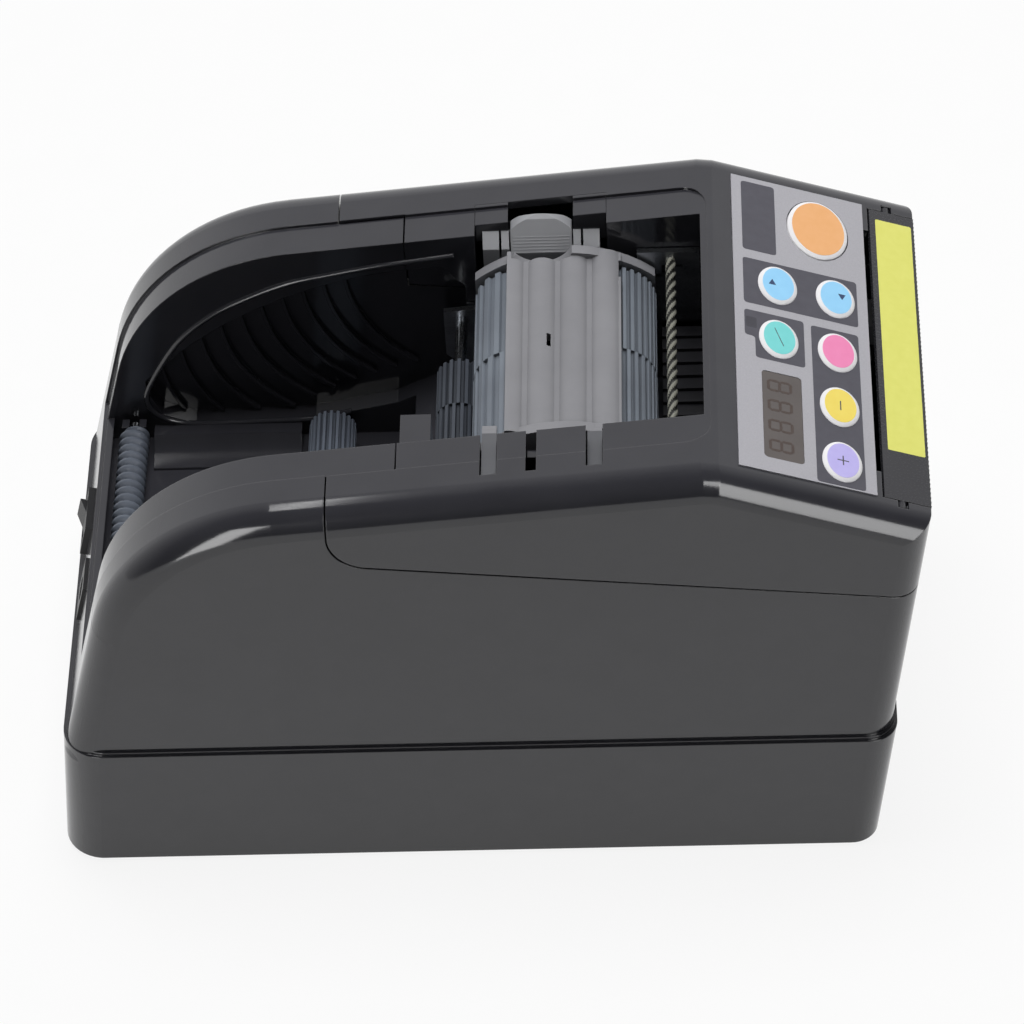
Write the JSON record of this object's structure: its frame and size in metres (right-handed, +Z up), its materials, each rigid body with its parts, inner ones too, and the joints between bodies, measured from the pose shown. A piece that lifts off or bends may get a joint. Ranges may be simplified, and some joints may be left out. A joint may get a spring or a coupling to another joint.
{
  "type": "electric tape dispenser",
  "caption": "Desktop powered tape dispenser with an open tape bay, lift-out feed rollers, a motor-driven cutter and a sloping key panel.",
  "frame": {"origin": "bottom centre of the bounding box, on the surface that the feet rest on", "axes": "+X towards the tape outlet, +Y across towards the side with the latch, +Z up"},
  "size_m": [0.2245, 0.1236, 0.1346],
  "materials": {
    "housing_charcoal": "polished moulded ABS",
    "base_black": "moulded",
    "foot_rubber": "soft",
    "screw_steel": "zinc plated",
    "overlay_silver": "printed film",
    "window_smoke": "clear smoked window",
    "display_dark": "display body",
    "board_green": "solder mask",
    "part_black": "moulded",
    "key_orange": "moulded",
    "key_blue": "moulded",
    "key_teal": "moulded",
    "key_pink": "moulded",
    "key_yellow": "moulded",
    "key_lilac": "moulded",
    "guard_charcoal": "moulded",
    "unit_grey": "satin moulded",
    "roller_rubber": "silicone",
    "bay_rubber": "silicone",
    "shaft_steel": "ground",
    "latch_grey": "moulded",
    "plate_steel": "zinc plated",
    "bush_brass": "sintered",
    "gear_nylon": "moulded",
    "pinion_brass": "cut",
    "motor_steel": "plated can",
    "guide_plastic": "moulded",
    "blade_steel": "hardened",
    "rod_coated": "non-stick coat"
  },
  "bodies": {
    "housing": {"lower_housing": "housing_charcoal", "head_cover": "housing_charcoal", "base_plate": "base_black", "rubber_feet": "foot_rubber", "base_screws": "screw_steel", "panel_overlay": "overlay_silver", "display_window": "window_smoke", "display_module": "display_dark", "control_board": "board_green", "tact_switches": "part_black", "latch_block": "latch_grey", "latch_pin": "shaft_steel", "near_side_plate": "plate_steel", "far_side_plate": "plate_steel", "plate_spacers": "shaft_steel", "shaft_bushes": "bush_brass", "idler_stud": "shaft_steel", "feed_motor": "motor_steel", "motor_bracket": "plate_steel", "tape_guide": "guide_plastic", "cutter_frame": "plate_steel", "upper_blade": "blade_steel", "cutter_motor": "motor_steel", "tape_sensor": "part_black", "spiral_rod": "rod_coated", "entry_shaft": "shaft_steel", "switch_body": "part_black", "dc_jack": "part_black", "main_board": "board_green"},
    "guard": {"guard": "guard_charcoal"},
    "roller_unit": {"roller_unit_frame": "unit_grey"},
    "upper_rear": {"upper_rear_roller": "roller_rubber", "upper_rear_shaft": "shaft_steel"},
    "upper_front": {"upper_front_roller": "roller_rubber", "upper_front_shaft": "shaft_steel"},
    "latch": {"latch": "latch_grey"},
    "feed": {"lower_front_roller": "bay_rubber", "lower_front_shaft": "shaft_steel", "feed_gear": "gear_nylon"},
    "lower_rear": {"lower_rear_roller": "bay_rubber", "lower_rear_shaft": "shaft_steel"},
    "idler": {"idler_gear": "gear_nylon"},
    "pinion": {"motor_pinion": "pinion_brass", "motor_shaft": "shaft_steel"},
    "crank": {"cutter_crank": "shaft_steel"},
    "blade": {"lower_blade": "blade_steel"},
    "entry": {"entry_roller": "bay_rubber"},
    "cradle": {"cradle_roller": "bay_rubber", "cradle_shaft": "shaft_steel"},
    "rear": {"rear_roller": "bay_rubber", "rear_shaft": "shaft_steel"},
    "rocker": {"switch_rocker": "part_black"},
    "start": {"start_key": "key_orange"},
    "reverse": {"reverse_key": "key_blue"},
    "forward": {"forward_key": "key_blue"},
    "mode": {"mode_key": "key_teal"},
    "select": {"select_key": "key_pink"},
    "minus": {"minus_key": "key_yellow"},
    "plus": {"plus_key": "key_lilac"}
  },
  "joints": [
    {"name": "guard_hinge", "type": "hinge", "parent": "housing", "child": "guard", "pos_m": [0.10478, 0, 0.11691], "axis": [0, -1, 0], "range_deg": [0, 100]},
    {"name": "start_press", "type": "slide", "parent": "housing", "child": "start", "axis": [-0.3363, 0, -0.9418], "range_m": [0, 0.0005], "stiffness_N_per_m": 900},
    {"name": "reverse_press", "type": "slide", "parent": "housing", "child": "reverse", "axis": [-0.3363, 0, -0.9418], "range_m": [0, 0.0005], "stiffness_N_per_m": 900},
    {"name": "forward_press", "type": "slide", "parent": "housing", "child": "forward", "axis": [-0.3363, 0, -0.9418], "range_m": [0, 0.0005], "stiffness_N_per_m": 900},
    {"name": "mode_press", "type": "slide", "parent": "housing", "child": "mode", "axis": [-0.3363, 0, -0.9418], "range_m": [0, 0.0005], "stiffness_N_per_m": 900},
    {"name": "select_press", "type": "slide", "parent": "housing", "child": "select", "axis": [-0.3363, 0, -0.9418], "range_m": [0, 0.0005], "stiffness_N_per_m": 900},
    {"name": "minus_press", "type": "slide", "parent": "housing", "child": "minus", "axis": [-0.3363, 0, -0.9418], "range_m": [0, 0.0005], "stiffness_N_per_m": 900},
    {"name": "plus_press", "type": "slide", "parent": "housing", "child": "plus", "axis": [-0.3363, 0, -0.9418], "range_m": [0, 0.0005], "stiffness_N_per_m": 900},
    {"name": "rocker_tilt", "type": "hinge", "parent": "housing", "child": "rocker", "pos_m": [-0.10439, 0.0125, 0.05075], "axis": [-0.247, 0, -0.969], "range_deg": [0, 16]},
    {"name": "latch_rock", "type": "hinge", "parent": "housing", "child": "latch", "pos_m": [0.01645, 0.0408, 0.1161], "axis": [-1, 0, 0], "range_deg": [0, 10], "stiffness_Nm_per_rad": 0.6},
    {"name": "unit_lift", "type": "slide", "parent": "housing", "child": "roller_unit", "axis": [0, 0, 1], "range_m": [0, 0.045]},
    {"name": "upper_rear_turn", "type": "hinge", "parent": "roller_unit", "child": "upper_rear", "pos_m": [0.01035, 0, 0.1111], "axis": [0, 1, 0], "continuous": true},
    {"name": "upper_front_turn", "type": "hinge", "parent": "roller_unit", "child": "upper_front", "pos_m": [0.03435, 0, 0.1111], "axis": [0, 1, 0], "continuous": true},
    {"name": "feed_turn", "type": "hinge", "parent": "housing", "child": "feed", "pos_m": [0.03435, 0, 0.0902], "axis": [0, 1, 0], "continuous": true},
    {"name": "lower_rear_turn", "type": "hinge", "parent": "housing", "child": "lower_rear", "pos_m": [0.01035, 0, 0.0902], "axis": [0, 1, 0], "continuous": true},
    {"name": "idler_turn", "type": "hinge", "parent": "housing", "child": "idler", "pos_m": [0.02424, -0.0414, 0.06517], "axis": [0, 1, 0], "continuous": true},
    {"name": "pinion_turn", "type": "hinge", "parent": "housing", "child": "pinion", "pos_m": [0.02424, -0.0414, 0.04417], "axis": [0, 1, 0], "continuous": true},
    {"name": "crank_turn", "type": "hinge", "parent": "housing", "child": "crank", "pos_m": [0.0903, 0, 0.0621], "axis": [1, 0, 0], "range_deg": [0, 90]},
    {"name": "blade_rise", "type": "slide", "parent": "housing", "child": "blade", "axis": [0, 0, 1], "range_m": [0, 0.00707]},
    {"name": "entry_turn", "type": "hinge", "parent": "housing", "child": "entry", "pos_m": [-0.00505, 0, 0.1002], "axis": [0, 1, 0], "continuous": true},
    {"name": "cradle_turn", "type": "hinge", "parent": "housing", "child": "cradle", "pos_m": [-0.0408, 0, 0.0653], "axis": [0, 1, 0], "continuous": true},
    {"name": "rear_turn", "type": "hinge", "parent": "housing", "child": "rear", "pos_m": [-0.0935, 0, 0.0637], "axis": [0, 1, 0], "continuous": true}
  ],
  "couplings": [
    {"joint": "idler_turn", "follows": "feed_turn", "ratio": -0.8},
    {"joint": "pinion_turn", "follows": "feed_turn", "ratio": 2},
    {"joint": "upper_front_turn", "follows": "feed_turn", "ratio": -0.79646},
    {"joint": "crank_turn", "follows": "blade_rise", "rad_per_m": 222.14}
  ]
}
